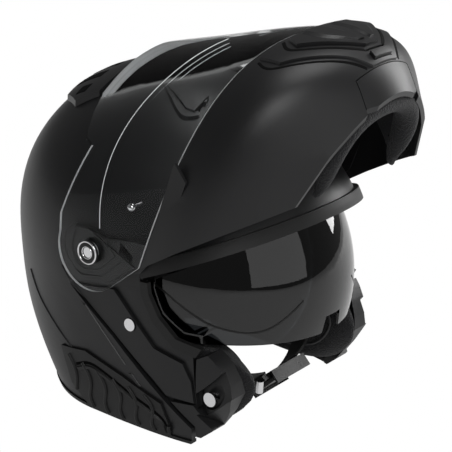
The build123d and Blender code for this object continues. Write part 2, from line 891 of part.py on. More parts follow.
# Chin vent: a frame on the bar, a shield over it, and a slider in the frame's lower window
vent_frame_shares = ((0, -0.258), (0.330, -0.258), (0.340, -0.345), (0.150, -0.490), (0.080, -0.560), (0, -0.560))
vent_shield_shares = ((0, -0.270), (0.200, -0.270), (0.240, -0.330), (0.120, -0.430), (0.040, -0.485), (0, -0.485))
vent_window_shares = ((0, -0.498), (0.060, -0.498), (0.060, -0.548), (0, -0.548))
vent_key_shares = ((0, -0.517), (0.056, -0.517), (0.056, -0.545), (0, -0.545))
frame_wall = 2
shield_wall = 4.5
frame_skin = chin_body(-frame_wall) - chin_body(-running_gap)
save((chin_face(vent_frame_shares) & frame_skin) - chin_face(vent_window_shares), "chin_vent_frame")
shield_skin = chin_body(-shield_wall) - chin_body(-frame_wall - running_gap)
save(chin_face(vent_shield_shares) & shield_skin, "chin_vent_shield")
key_skin = chin_body(-shield_wall) - chin_body(-moving_gap)
save(chin_face(vent_key_shares) & key_skin, "chin_vent_slider")

# Release lever under the front of the chin bar
lever_shares = ((0, -0.565), (0.172, -0.565), (0.172, -0.640), (0.120, -0.655), (0, -0.655))
lever_skin = chin_body(seat_gap) - chin_body(chin_wall)
save(chin_face(lever_shares) & lever_skin, "release_lever")

# Latch plates: open hooks that close over the latch pins
plate_hook_shares = (
    (-0.4425, -0.4885),
    (-0.481, -0.559),
    (-0.529, -0.514),
    (-0.575, -0.462),
    (-0.610, -0.475),
    (-0.640, -0.425),
    (-0.595, -0.3825),
    (-0.535, -0.382),
    (-0.4855, -0.4435),
)
pin_reach = sqrt(latch_ahead**2 + latch_drop**2)
slot_half = latch_neck_radius + moving_gap
hook_far = latch_plate_inner + latch_plate_wall
hook_closed_shares = ((0, 0), (-0.7325, -0.6807), (-0.500, -1.100), (0, -1.100))
hook = chin_side(plate_hook_shares, latch_plate_inner, hook_far)
hook_ring = chin_disc(0, 0, pin_reach + slot_half, 0, reach_out) - chin_disc(0, 0, pin_reach - slot_half, 0, reach_out)
hook = hook - (hook_ring & chin_side(hook_closed_shares, 0, reach_out))
save_pair(hook, "latch_plate")

# Visor bases, lock rings and the clear visor
base_inner = arm_inner + arm_wall
base_shares = ((-0.050, -0.200), (-0.075, 0.040), (-0.045, 0.105), (0.020, 0.130), (0.130, 0.020), (0.070, -0.115))
base = chin_side(base_shares, base_inner + running_gap, base_inner + base_wall)
base = base + chin_disc(0, 0, hub_radius, base_inner + running_gap, visor_half_width + running_gap)
base = base - chin_disc(0, 0, bush_radius + running_gap, 0, visor_half_width - visor_wall - running_gap)
base = base - chin_disc(0, 0, shank_radius + running_gap, 0, reach_out)
save_pair(base, "visor_base")
lock_ring = chin_disc(0, 0, ring_radius, ring_inner, ring_inner + ring_wall)
save_pair(lock_ring - chin_disc(0, 0, screw_radius + running_gap, 0, reach_out), "lock_ring")

visor_level_shares = (
    (-0.300, 1.020, 0.74),
    (-0.245, 0.995, 0.74),
    (-0.060, 0.895, 0.67),
    (0.180, 0.742, 0.57),
    (0.360, 0.630, 0.465),
    (0.450, 0.570, 0.43),
)
visor_side_shares = (
    (0.083, -0.131),
    (-0.070, -0.2275),
    (-1.30, -0.2275),
    (-1.30, 0.500),
    (-0.345, 0.500),
    (-0.345, 0.176),
    (-0.070, 0.176),
    (0, 0.155),
)
visor_top_shares = (
    (0, 0.383),
    (0.200, 0.375),
    (0.307, 0.357),
    (0.415, 0.334),
    (0.478, 0.305),
    (0.532, 0.270),
    (0.585, 0.230),
    (0.628, 0.202),
    (0.660, 0.188),
)


def visor_body(inset):
    """Return the solid inside the visor's outer surface, drawn in by an inset."""
    sections = []
    for height, ahead, corner in visor_level_shares:
        plane = raised.offset(height * visor_front)
        half_width = visor_half_width - inset
        sections.append(bow_face(plane, half_width, ahead * visor_front - inset, corner, overrun))
    with BuildPart() as body:
        loft(sections)
    return body.part


def make_visor():
    """Return the clear visor with its round tabs and its peaked top edge."""
    skin = visor_body(0) - visor_body(visor_wall)
    side = chin_side(visor_side_shares, -reach_out, reach_out)
    side = side + chin_disc(0, 0, tab_radius, -reach_out, reach_out)
    half = scaled(visor_top_shares, visor_front)
    other = [(-x, z) for x, z in reversed(half) if x]
    edge = half + [(reach_out, half[-1][1]), (reach_out, -overrun * 2), (-reach_out, -overrun * 2)]
    edge = edge + [(-reach_out, half[-1][1])] + other
    visor = skin & side & prism(raised_front, edge, -overrun, visor_front + overrun)
    return visor - chin_disc(0, 0, hub_radius + running_gap, -reach_out, reach_out)


save(make_visor(), "clear_visor")

# Buckle: a channel with a lever, and the toothed strip of the other strap in it
buckle_wall = 2
buckle_lap = 9
tongue_wall = 2
tongue_width = 14
lever_wall = 3
hinge_radius = 1.5
strap_end = strap_shares[-1][0] * shell_half_width
floor_face = strap_shares[-1][1] * shell_half_width + strap_wall / 2 + running_gap
tongue_face = floor_face + buckle_wall + soft_gap
lever_face = tongue_face + tongue_wall + moving_gap
half_length = buckle_length / 2
inside_width = buckle_width - 2 * buckle_wall


def buckle_box(left, right, top, bottom, width):
    """Return a box in the strap's frame, across the width about its middle."""
    with BuildPart() as box:
        with BuildSketch(strap_plane.offset(-width / 2)):
            with BuildLine():
                Polyline((left, top), (right, top), (right, bottom), (left, bottom), close=True)
            make_face()
        extrude(amount=width)
    return box.part


hinge_centre = (half_length - buckle_wall, lever_face + lever_wall / 2)
frame_far = half_length + buckle_lap
channel = buckle_box(-half_length, frame_far, floor_face, floor_face + buckle_wall + buckle_depth, buckle_width)
channel = channel - buckle_box(-reach_out, reach_out, floor_face + buckle_wall, reach_out, inside_width)
channel = channel - disc(strap_plane, hinge_centre, hinge_radius + running_gap, -buckle_width, buckle_width)
save(channel, "buckle_frame")
lever = buckle_box(
    -half_length, half_length, lever_face, lever_face + lever_wall, inside_width - 2 * moving_gap
)
lever = lever + disc(strap_plane, hinge_centre, hinge_radius, -buckle_width / 2, buckle_width / 2)
save(lever, "buckle_lever")
tongue = buckle_box(-half_length - buckle_lap, 0, tongue_face, tongue_face + tongue_wall, tongue_width)
tongue_block = buckle_box(
    -half_length - buckle_lap, -half_length - moving_gap, floor_face, tongue_face + tongue_wall, strap_width
)
save(tongue + tongue_block, "buckle_tongue")
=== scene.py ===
import json
import math

import bmesh
import bpy
from mathutils import Matrix, Vector
from mathutils.bvhtree import BVHTree

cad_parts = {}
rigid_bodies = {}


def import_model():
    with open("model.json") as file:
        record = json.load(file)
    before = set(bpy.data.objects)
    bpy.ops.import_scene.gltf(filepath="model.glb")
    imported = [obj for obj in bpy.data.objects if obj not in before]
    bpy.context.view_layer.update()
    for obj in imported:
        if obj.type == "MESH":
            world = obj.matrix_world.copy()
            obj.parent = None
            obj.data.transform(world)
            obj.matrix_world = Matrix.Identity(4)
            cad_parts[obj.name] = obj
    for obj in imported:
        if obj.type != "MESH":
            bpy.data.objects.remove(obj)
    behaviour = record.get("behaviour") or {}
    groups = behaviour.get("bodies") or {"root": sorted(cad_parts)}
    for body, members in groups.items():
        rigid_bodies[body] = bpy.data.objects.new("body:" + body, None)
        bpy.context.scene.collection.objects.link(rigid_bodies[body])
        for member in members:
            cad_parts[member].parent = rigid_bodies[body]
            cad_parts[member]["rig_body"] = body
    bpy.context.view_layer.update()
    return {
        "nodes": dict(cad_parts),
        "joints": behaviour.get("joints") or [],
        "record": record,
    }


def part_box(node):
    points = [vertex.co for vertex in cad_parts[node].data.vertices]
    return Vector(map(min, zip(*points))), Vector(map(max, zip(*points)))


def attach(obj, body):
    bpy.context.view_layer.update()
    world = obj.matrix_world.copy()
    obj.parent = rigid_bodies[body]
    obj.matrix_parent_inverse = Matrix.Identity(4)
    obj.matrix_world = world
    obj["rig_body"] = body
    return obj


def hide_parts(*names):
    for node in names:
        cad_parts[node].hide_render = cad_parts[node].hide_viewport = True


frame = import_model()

nodes = frame["nodes"]


# Shell
# The outer shell is moulded in tough thermoplastic about 4 mm thick and sprayed with a matt soft-touch
# lacquer. The rear vent is a moulding of its own, sprayed with the shell and glued to it.
def lacquer_or_moulding(
    name, colour, roughness, grain=0.0, grain_scale=900, drift=0.0, metallic=0.0, shine=0.5
):
    """A solid finish: one colour, a fine grain in its height and a slow drift in its gloss."""
    grain_depth = 0.0003
    drift_scale = 16
    made = bpy.data.materials.new(name)
    made.use_nodes = True
    tree = made.node_tree
    surface = tree.nodes["Principled BSDF"]
    surface.inputs["Base Color"].default_value = (*colour, 1)
    surface.inputs["Metallic"].default_value = metallic
    surface.inputs["Specular IOR Level"].default_value = shine
    surface.inputs["Roughness"].default_value = roughness
    place = tree.nodes.new("ShaderNodeTexCoord")
    if grain:
        noise = tree.nodes.new("ShaderNodeTexNoise")
        noise.inputs["Scale"].default_value = grain_scale
        noise.inputs["Detail"].default_value = 3
        bump = tree.nodes.new("ShaderNodeBump")
        bump.inputs["Strength"].default_value = grain
        bump.inputs["Distance"].default_value = grain_depth
        tree.links.new(place.outputs["Object"], noise.inputs["Vector"])
        tree.links.new(noise.outputs["Fac"], bump.inputs["Height"])
        tree.links.new(bump.outputs["Normal"], surface.inputs["Normal"])
    if drift:
        wide = tree.nodes.new("ShaderNodeTexNoise")
        wide.inputs["Scale"].default_value = drift_scale
        wide.inputs["Detail"].default_value = 4
        gloss = tree.nodes.new("ShaderNodeMapRange")
        gloss.inputs["To Min"].default_value = roughness - drift
        gloss.inputs["To Max"].default_value = roughness + drift
        tree.links.new(place.outputs["Object"], wide.inputs["Vector"])
        tree.links.new(wide.outputs["Fac"], gloss.inputs["Value"])
        tree.links.new(gloss.outputs["Result"], surface.inputs["Roughness"])
    return made


def dress(names, surface):
    """Give CAD nodes a finish."""
    for name in names:
        nodes[name].data.materials.clear()
        nodes[name].data.materials.append(surface)


def owner(name):
    """The body that a CAD node belongs to."""
    return nodes[name]["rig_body"]


def joined_copy(name):
    """A copy of a CAD node's mesh, with its loose triangles joined."""
    join_reach = 0.00001
    mesh = bmesh.new()
    mesh.from_mesh(nodes[name].data)
    bmesh.ops.remove_doubles(mesh, verts=mesh.verts, dist=join_reach)
    return mesh


def stand_in(name, ending, data, surface):
    """Show a mesh in one finish in the place of a CAD node."""
    if "custom_normal" in data.attributes:
        data.attributes.remove(data.attributes["custom_normal"])
    data.materials.clear()
    data.materials.append(surface)
    made = bpy.data.objects.new(name + ending, data)
    bpy.context.scene.collection.objects.link(made)
    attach(made, owner(name))
    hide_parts(name)
    return made


def smooth_copy(name, surface, crease=28):
    """Stand a copy of a CAD node in its place, shaded smooth where it bends by less than the crease."""
    mesh = joined_copy(name)
    for face in mesh.faces:
        face.smooth = True
        face.material_index = 0
    for edge in mesh.edges:
        edge.smooth = len(edge.link_faces) == 2 and edge.calc_face_angle(0) < math.radians(crease)
    data = bpy.data.meshes.new(name + "_finish")
    mesh.to_mesh(data)
    mesh.free()
    return stand_in(name, "_finish", data, surface)


matt_lacquer = lacquer_or_moulding(
    "matt_lacquer", (0.0085, 0.0085, 0.0090), 0.40, grain=0.12, grain_scale=1500, drift=0.02, shine=0.32
)
dress(["outer_shell", "rear_vent"], matt_lacquer)
smooth_copy("outer_shell", matt_lacquer)
smooth_copy("rear_vent", matt_lacquer)

# Side plates and end caps
# Flush covers below the pivots and the blocks at the ends of the face opening, injection moulded and
# sprayed with the shell, held by clips behind.
plate_lacquer = lacquer_or_moulding(
    "plate_lacquer", (0.0080, 0.0080, 0.0085), 0.43, grain=0.15, grain_scale=1300, shine=0.30
)
dress(["side_plate_left", "side_plate_right", "end_cap_left", "end_cap_right"], plate_lacquer)
for side in ("left", "right"):
    smooth_copy("side_plate_" + side, plate_lacquer)
    smooth_copy("end_cap_" + side, plate_lacquer)

# Foam
# Black expanded bead foam takes up the blow. The piece in the shell and the one in the chin bar are each
# moulded in one and pressed in.
bead_foam = lacquer_or_moulding("bead_foam", (0.012, 0.012, 0.012), 0.85, grain=0.6, grain_scale=300)
dress(["eps_liner", "chin_liner"], bead_foam)


# Lining
# Brushed knit sewn over soft foam: a crown bowl, two cheek pads, a roll round the neck and a roll in
# the chin bar, all of which unclip for washing.
def knit_cloth(name, colour, loop_scale):
    """A knitted cloth: small loops and fluff in its height, with a soft sheen."""
    loop_depth = 0.0009
    made = bpy.data.materials.new(name)
    made.use_nodes = True
    tree = made.node_tree
    surface = tree.nodes["Principled BSDF"]
    surface.inputs["Base Color"].default_value = (*colour, 1)
    surface.inputs["Roughness"].default_value = 0.9
    surface.inputs["Specular IOR Level"].default_value = 0.2
    surface.inputs["Sheen Weight"].default_value = 0.12
    surface.inputs["Sheen Roughness"].default_value = 0.5
    place = tree.nodes.new("ShaderNodeTexCoord")
    loops = tree.nodes.new("ShaderNodeTexVoronoi")
    loops.inputs["Scale"].default_value = loop_scale
    fluff = tree.nodes.new("ShaderNodeTexNoise")
    fluff.inputs["Scale"].default_value = loop_scale * 2.5
    fluff.inputs["Detail"].default_value = 4
    both = tree.nodes.new("ShaderNodeMath")
    both.operation = "ADD"
    bump = tree.nodes.new("ShaderNodeBump")
    bump.inputs["Strength"].default_value = 0.9
    bump.inputs["Distance"].default_value = loop_depth
    tree.links.new(place.outputs["Object"], loops.inputs["Vector"])
    tree.links.new(place.outputs["Object"], fluff.inputs["Vector"])
    tree.links.new(loops.outputs["Distance"], both.inputs[0])
    tree.links.new(fluff.outputs["Fac"], both.inputs[1])
    tree.links.new(both.outputs["Value"], bump.inputs["Height"])
    tree.links.new(bump.outputs["Normal"], surface.inputs["Normal"])
    return made


brushed_knit = knit_cloth("brushed_knit", (0.011, 0.011, 0.012), 700)
dress(["crown_liner", "neck_roll", "cheek_pad_left", "cheek_pad_right", "chin_pad"], brushed_knit)


def cushion(name, cell, passes):
    """Stand a soft cushion in the place of a CAD node: an even mesh, smoothed a number of times."""
    mesh = joined_copy(name)
    data = bpy.data.meshes.new(name + "_raw")
    mesh.to_mesh(data)
    mesh.free()
    raw = bpy.data.objects.new(name + "_raw", data)
    bpy.context.scene.collection.objects.link(raw)
    even = raw.modifiers.new("even", "REMESH")
    even.mode = "VOXEL"
    even.voxel_size = cell
    even.use_smooth_shade = True
    soft = raw.modifiers.new("soft", "SMOOTH")
    soft.factor = 0.5
    soft.iterations = passes
    graph = bpy.context.evaluated_depsgraph_get()
    data = bpy.data.meshes.new_from_object(raw.evaluated_get(graph))
    bpy.data.objects.remove(raw)
    data.name = name + "_cushion"
    for face in data.polygons:
        face.use_smooth = True
        face.material_index = 0
    made = stand_in(name, "_cushion", data, brushed_knit)
    return made


crown_cushion = cushion("crown_liner", 0.002, 1)
# Ahead of the crown its outer face lies lower, which leaves the sun visor room to slide over the cloth.
visor_room = 0.0042
room_from = -0.008
room_slope = 0.014
head_centre = Vector((0, 0.013, 0.125))
moves = []
for vertex in crown_cushion.data.vertices:
    ahead = min(1, max(0, (room_from - vertex.co.y) / room_slope))
    outward = vertex.normal.dot((vertex.co - head_centre).normalized()) > 0
    moves.append(vertex.normal * (-visor_room * ahead) if outward else Vector())
for vertex, move in zip(crown_cushion.data.vertices, moves):
    vertex.co += move
crown_cushion.data.update()
cushion("neck_roll", 0.002, 8)
for side in ("left", "right"):
    cushion("cheek_pad_" + side, 0.0018, 14)
cushion("chin_pad", 0.0016, 8)


# Piping on the cheek pads
# A welt, which is a cord in a folded strip of smoother cloth, is sewn round the inner face of each pad
# where the halves of its cover meet.
def skin(name):
    """The surface of a node or a piece, to lay lines on."""
    data = (nodes[name] if name in nodes else bpy.data.objects[name]).data
    return BVHTree.FromPolygons([v.co for v in data.vertices], [p.vertices for p in data.polygons])


def rounded(points, steps, closed=False):
    """A smooth line through the points, with a number of steps from each to the next."""
    count = len(points)
    line = []
    for index in range(count if closed else count - 1):
        around = [index - 1, index, index + 1, index + 2]
        if closed:
            a, b, c, d = [Vector(points[k % count]) for k in around]
        else:
            a, b, c, d = [Vector(points[min(max(k, 0), count - 1)]) for k in around]
        for step in range(steps):
            t = step / steps
            bend = 2 * b + (c - a) * t + (2 * a - 5 * b + 4 * c - d) * t**2 + (3 * b - a - 3 * c + d) * t**3
            line.append(bend * 0.5)
    if not closed:
        line.append(Vector(points[-1]))
    return line


def laid_on(surface, starts, way):
    """The places where rays from the starts meet a surface."""
    found = [surface.ray_cast(start, way)[0] for start in starts]
    return [place for place in found if place is not None]


def both_sides(line):
    """A line on the left and its mirror image on the right."""
    return [line, [Vector((-place.x, place.y, place.z)) for place in line]]


def cord_nodes():
    """Geometry Nodes that lay a round cord along every line of a mesh of loose edges."""
    tree = bpy.data.node_groups.new("cord_along_lines", "GeometryNodeTree")
    tree.interface.new_socket("Lines", in_out="INPUT", socket_type="NodeSocketGeometry")
    tree.interface.new_socket("Radius", in_out="INPUT", socket_type="NodeSocketFloat")
    tree.interface.new_socket("Sides", in_out="INPUT", socket_type="NodeSocketInt")
    tree.interface.new_socket("Finish", in_out="INPUT", socket_type="NodeSocketMaterial")
    tree.interface.new_socket("Cords", in_out="OUTPUT", socket_type="NodeSocketGeometry")
    given = tree.nodes.new("NodeGroupInput")
    path = tree.nodes.new("GeometryNodeMeshToCurve")
    tree.links.new(given.outputs["Lines"], path.inputs["Mesh"])
    ring = tree.nodes.new("GeometryNodeCurvePrimitiveCircle")
    tree.links.new(given.outputs["Sides"], ring.inputs["Resolution"])
    tree.links.new(given.outputs["Radius"], ring.inputs["Radius"])
    sweep = tree.nodes.new("GeometryNodeCurveToMesh")
    sweep.inputs["Fill Caps"].default_value = True
    tree.links.new(path.outputs["Curve"], sweep.inputs["Curve"])
    tree.links.new(ring.outputs["Curve"], sweep.inputs["Profile Curve"])
    real = tree.nodes.new("GeometryNodeRealizeInstances")
    tree.links.new(sweep.outputs["Mesh"], real.inputs["Geometry"])
    coat = tree.nodes.new("GeometryNodeSetMaterial")
    tree.links.new(real.outputs["Geometry"], coat.inputs["Geometry"])
    tree.links.new(given.outputs["Finish"], coat.inputs["Material"])
    result = tree.nodes.new("NodeGroupOutput")
    tree.links.new(coat.outputs["Geometry"], result.inputs["Cords"])
    return tree


cord_along_lines = cord_nodes()


def cord_mesh(name, lines, radius, surface, closed=False, sides=10):
    """A round cord along each of the lines, as one plain mesh."""
    data = bpy.data.meshes.new(name + "_lines")
    places = [place for line in lines for place in line]
    edges = []
    first = 0
    for line in lines:
        last = first + len(line) - 1
        edges += [(index, index + 1) for index in range(first, last)]
        if closed:
            edges.append((last, first))
        first = last + 1
    data.from_pydata(places, edges, [])
    holder = bpy.data.objects.new(name + "_lines", data)
    bpy.context.scene.collection.objects.link(holder)
    cord = holder.modifiers.new("cord", "NODES")
    cord.node_group = cord_along_lines
    values = {"Radius": radius, "Sides": sides, "Finish": surface}
    for socket in cord_along_lines.interface.items_tree:
        if socket.name in values:
            cord[socket.identifier] = values[socket.name]
    graph = bpy.context.evaluated_depsgraph_get()
    mesh = bpy.data.meshes.new_from_object(holder.evaluated_get(graph))
    holder.modifiers.remove(cord)
    bpy.data.objects.remove(holder)
    return mesh


def piece(name, mesh, surface, body, smooth=True):
    """A finished piece that moves with a body."""
    mesh.name = name
    mesh.materials.clear()
    mesh.materials.append(surface)
    for face in mesh.polygons:
        face.use_smooth = smooth
        face.material_index = 0
    made = bpy.data.objects.new(name, mesh)
    bpy.context.scene.collection.objects.link(made)
    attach(made, body)


outward_left = Vector((1, 0, 0))
welt_radius = 0.0011
welt_shares = (
    (-0.62, 0.30),
    (-0.78, -0.05),
    (-0.60, -0.52),
    (-0.10, -0.70),
    (0.45, -0.66),
    (0.70, -0.15),
    (0.58, 0.38),
    (0.10, 0.56),
    (-0.30, 0.50),
)
pad_low, pad_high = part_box("cheek_pad_left")
pad_middle = (pad_low + pad_high) / 2
pad_half = (pad_high - pad_low) / 2
welt_starts = [
    Vector((0, pad_middle.y + y * pad_half.y, pad_middle.z + z * pad_half.z)) for y, z in welt_shares
]
pad_skin = skin("cheek_pad_left_cushion")
welt_line = laid_on(pad_skin, rounded(welt_starts, 10, closed=True), outward_left)
welt_cloth = lacquer_or_moulding("welt_cloth", (0.02, 0.02, 0.021), 0.7, grain=0.5, grain_scale=1500)
welt_mesh = cord_mesh("pad_welts", both_sides(welt_line), welt_radius, welt_cloth, closed=True)
piece("pad_welts", welt_mesh, welt_cloth, "shell")

# Seals
# Extruded rubber glued along the brow, down the sides of the face opening and under the shell, and soft
# moulded rubber panels along the lower edge, each with a groove, a lip and a row of waves. The shade in
# each groove is painted as a thin near-black strip.
seal_rubber = lacquer_or_moulding(
    "seal_rubber", (0.006, 0.006, 0.006), 0.5, grain=0.15, grain_scale=800, shine=0.3
)
dress(["base_trim", "brow_seal", "port_seal_left", "port_seal_right"], seal_rubber)
dress(["neck_panel_left", "neck_panel_right"], seal_rubber)


def beside(points):
    """Start points beside the helmet for places given in millimetres, behind the pivots' plane and up."""
    return [Vector((0.3, y * 0.001, z * 0.001)) for y, z in points]


def band(name, surface, near, far, way, height, finish, body):
    """A raised strip with sloping sides between two lines laid on a surface, and its mirror image."""
    sunk = 0.0004
    slope = 0.22
    steps = 8
    data = bmesh.new()
    for mirror in (1, -1):
        rows = []
        for start, end in zip(rounded(near, steps), rounded(far, steps)):
            first, normal, _, _ = surface.ray_cast(start, way)
            last, other, _, _ = surface.ray_cast(end, way)
            if first is None or last is None:
                continue
            out = (normal + other).normalized()
            out = out if out.dot(way) < 0 else -out
            across = last - first
            corners = [first - out * sunk, first + across * slope + out * height]
            corners += [last - across * slope + out * height, last - out * sunk]
            rows.append([data.verts.new((place.x * mirror, place.y, place.z)) for place in corners])
        if len(rows) < 2:
            continue
        for one, two in zip(rows, rows[1:]):
            for index in range(4):
                following = (index + 1) % 4
                data.faces.new((one[index], one[following], two[following], two[index]))
        data.faces.new(rows[0])
        data.faces.new(rows[-1])
    bmesh.ops.recalc_face_normals(data, faces=data.faces)
    mesh = bpy.data.meshes.new(name)
    data.to_mesh(mesh)
    data.free()
    piece(name, mesh, finish, body, smooth=False)


inward = Vector((-1, 0, 0))
panel_skin = skin("neck_panel_left")
panel_low, panel_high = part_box("neck_panel_left")
panel_length = panel_high.y - panel_low.y
panel_rise = panel_high.z - panel_low.z
groove_near = beside(((23, 40), (4, 46), (-30, 33), (-59, 20), (-66, 5)))
groove_far = beside(((22, 37), (3, 42.5), (-31, 29.5), (-57.5, 17), (-63, 5)))
lip_far = beside(((19, 33), (3, 38.5), (-30, 26), (-54, 14), (-59, 6)))
groove_height = 0.0003
lip_height = 0.0012
# Painted shade: a near-black strip laid in the groove of each neck panel.
painted_panel_groove_shade = lacquer_or_moulding("painted_panel_groove_shade", (0.0010, 0.0010, 0.0010), 0.85, shine=0.05)
band("panel_groove_shade", panel_skin, groove_near, groove_far, inward, groove_height, painted_panel_groove_shade,
     "shell")
band("panel_lips", panel_skin, groove_far, lip_far, inward, lip_height, seal_rubber, "shell")

wave_count = 7
wave_steps = 24
wave_radius = 0.0016
wave_top = 0.16
wave_lean = 0.10
wave_swing = 0.035
wave_bend = 5.4
wave_fall = 0.30
waves = []
for number in range(wave_count):
    across = (number + 0.6) / wave_count
    drop = wave_fall * across
    wave = []
    for step in range(wave_steps + 1):
        down = step / wave_steps
        bend = wave_swing * math.sin(wave_bend * down)
        y = panel_high.y - panel_length * (across + wave_lean * down + bend)
        z = panel_high.z - panel_rise * (wave_top + drop + (1 - wave_top - drop) * down)
        wave.append(Vector((0.2, y, z)))
    waves += both_sides(laid_on(panel_skin, wave, inward))
wave_lines = [line for line in waves if len(line) > 3]
wave_mesh = cord_mesh("panel_waves", wave_lines, wave_radius, seal_rubber)
piece("panel_waves", wave_mesh, seal_rubber, "shell")

# Vents and levers
# The intakes, their shutters, the release lever and the sun visor's slider are moulded in glass-filled
# nylon with a fine spark-eroded grain, and glued or clipped on.
grained_nylon = lacquer_or_moulding(
    "grained_nylon", (0.0065, 0.0065, 0.007), 0.42, grain=0.08, grain_scale=2400, shine=0.35
)
dress(["crown_vent", "crown_vent_slider", "chin_vent_frame", "chin_vent_slider"], grained_nylon)
dress(["release_lever", "sun_visor_slider", "lock_ring_left", "lock_ring_right"], grained_nylon)

# Crown vent arms
# Two slotted arms run back from the crown intake on each side, moulded in one with the shell and sprayed
# with it. The shade in the slot along each is painted as a thin black strip.
# A near-black finish for painted shade in slots and gaps.
painted_slot_shade = lacquer_or_moulding("painted_slot_shade", (0.0012, 0.0012, 0.0012), 0.8, shine=0.1)
shell_surface = skin("outer_shell")
down_way = Vector((0, 0, -1))


def on_plan(points):
    """Start points above the helmet for places given in millimetres, across and behind the pivots."""
    return [Vector((x * 0.001, y * 0.001, 0.4)) for x, y in points]


arm_height = 0.0026
inner_arm_height = 0.0030
arm_slot_height = 0.0006
arm_far = on_plan(((18, 44), (44, 3), (60, -25), (52, -37)))
arm_near = on_plan(((8, 44), (36, 5), (49, -22), (47, -34)))
slot_near = on_plan(((5, 42), (33, 4), (46, -22), (44, -33)))
inner_arm_far = on_plan(((9, 33), (27, 8), (42, -21), (40, -34)))
inner_arm_near = on_plan(((4, 31), (20, 8), (35, -20), (34, -31)))
inner_slot_near = on_plan(((1, 29), (17, 7), (32, -20), (31, -30)))
band("crown_arms", shell_surface, arm_near, arm_far, down_way, arm_height, matt_lacquer,
     "shell")
# Painted shade in the slots: thin black strips laid on the shell.
band("crown_arm_slot_shade", shell_surface, slot_near, arm_near, down_way, arm_slot_height, painted_slot_shade,
     "shell")
band("crown_inner_arms", shell_surface, inner_arm_near, inner_arm_far, down_way, inner_arm_height,
     matt_lacquer, "shell")
band("crown_inner_slot_shade", shell_surface, inner_slot_near, inner_arm_near, down_way, arm_slot_height,
     painted_slot_shade, "shell")

# Side creases and rear slots
# Soft creases are moulded into the flanks and the lower rear of the shell. The rear vent has three outlet
# slots on each side of its middle, their shade painted as thin black strips.
flank_height = 0.0007
flank_near = beside(((34, 121), (6, 91), (-22, 61), (-41, 40)))
flank_far = beside(((38, 119), (10, 90), (-18, 60), (-37, 39)))
band("flank_creases", shell_surface, flank_near, flank_far, inward, flank_height, matt_lacquer,
     "shell")
rear_height = 0.0008
rear_near = beside(((84, 98), (70, 82), (48, 66), (27, 51)))
rear_far = beside(((84, 94), (72, 77), (50, 61), (29, 48)))
band("rear_creases", shell_surface, rear_near, rear_far, inward, rear_height, matt_lacquer,
     "shell")
spoiler_surface = skin("rear_vent")
# Painted shade in the outlet slots: thin black strips laid on the rear vent.
spoiler_slot_height = 0.0005
spoiler_rows = (71, 82, 96)
for number, (near_side, far_side) in enumerate(((6, 22), (27, 42), (47, 60))):
    near = on_plan([(near_side, y) for y in spoiler_rows])
    far = on_plan([(far_side, y) for y in spoiler_rows])
    band("spoiler_slot_shade_" + str(number), spoiler_surface, near, far, down_way, spoiler_slot_height,
         painted_slot_shade, "shell")

# Pins, studs, screws and rivets
# Turned steel, ground and polished, pressed or screwed in. The buckle's frame, tongue and lever are
# pressed steel with a black finish.
polished_steel = lacquer_or_moulding(
    "polished_steel", (0.70, 0.70, 0.71), 0.16, grain=0.05, grain_scale=2200, metallic=1
)
bright_parts = ("latch_pin", "latch_plate", "ball_stud", "plate_stud", "pivot_bush", "pivot_screw")
for part in bright_parts + ("sun_visor_pin", "strap_rivet"):
    dress([part + "_left", part + "_right"], polished_steel)
blacked_steel = lacquer_or_moulding(
    "blacked_steel", (0.012, 0.012, 0.012), 0.35, grain=0.1, grain_scale=900, metallic=0.6
)
dress(["buckle_frame", "buckle_lever", "buckle_tongue"], blacked_steel)

# Chin strap
# Flat woven polyester tape, riveted through the foam to the shell on each side. A turned steel barrel
# stands at the end of the buckle's tongue.
barrel_radius = 0.003
tongue_low, tongue_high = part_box("buckle_tongue")
barrel_x = tongue_low.x - 0.001
barrel_y = tongue_low.y + 0.004
tongue_middle = (tongue_low + tongue_high) / 2
barrel_ends = [
    Vector((barrel_x, barrel_y, tongue_middle.z - 0.004)),
    Vector((barrel_x, barrel_y, tongue_middle.z + 0.006)),
]
barrel_mesh = cord_mesh("buckle_barrel", [barrel_ends], barrel_radius, polished_steel, sides=16)
piece("buckle_barrel", barrel_mesh, polished_steel, "shell")
tape = lacquer_or_moulding("tape", (0.010, 0.010, 0.010), 0.8, grain=0.8, grain_scale=1600)
dress(["strap_left", "strap_right"], tape)

# Chin bar
# The bar and its two arms are one moulding, made and sprayed like the shell. The shield over the chin vent
# is a separate moulding, clipped on a grained frame.
dress(["chin_bar", "chin_vent_shield"], matt_lacquer)
smooth_copy("chin_bar", matt_lacquer)
smooth_copy("chin_vent_shield", matt_lacquer)


# Visors
# Injection-moulded polycarbonate with a hard coat: the sun visor smoked, 2 mm thick, on two pins; the
# outer one clear, 2.2 mm thick, held by a round tab on each side.
def clear_plastic(name, tint, index, roughness):
    """A clear moulding: light goes straight through, tinted, under a gloss that grows towards the edge."""
    made = bpy.data.materials.new(name)
    made.use_nodes = True
    tree = made.node_tree
    tree.nodes.remove(tree.nodes["Principled BSDF"])
    through = tree.nodes.new("ShaderNodeBsdfTransparent")
    through.inputs["Color"].default_value = (*tint, 1)
    gloss = tree.nodes.new("ShaderNodeBsdfGlossy")
    gloss.inputs["Roughness"].default_value = roughness
    gloss.inputs["Color"].default_value = (1, 1, 1, 1)
    edge = tree.nodes.new("ShaderNodeFresnel")
    edge.inputs["IOR"].default_value = index
    mix = tree.nodes.new("ShaderNodeMixShader")
    tree.links.new(edge.outputs["Fac"], mix.inputs["Fac"])
    tree.links.new(through.outputs["BSDF"], mix.inputs[1])
    tree.links.new(gloss.outputs["BSDF"], mix.inputs[2])
    tree.links.new(mix.outputs["Shader"], tree.nodes["Material Output"].inputs["Surface"])
    return made


smoked = clear_plastic("smoked", (0.11, 0.115, 0.12), 1.5, 0.02)
dress(["sun_visor"], smoked)
smooth_copy("sun_visor", smoked, crease=40)
clear = clear_plastic("clear", (0.965, 0.97, 0.97), 1.12, 0.02)
dress(["clear_visor"], clear)
outer_visor = smooth_copy("clear_visor", clear, crease=40)
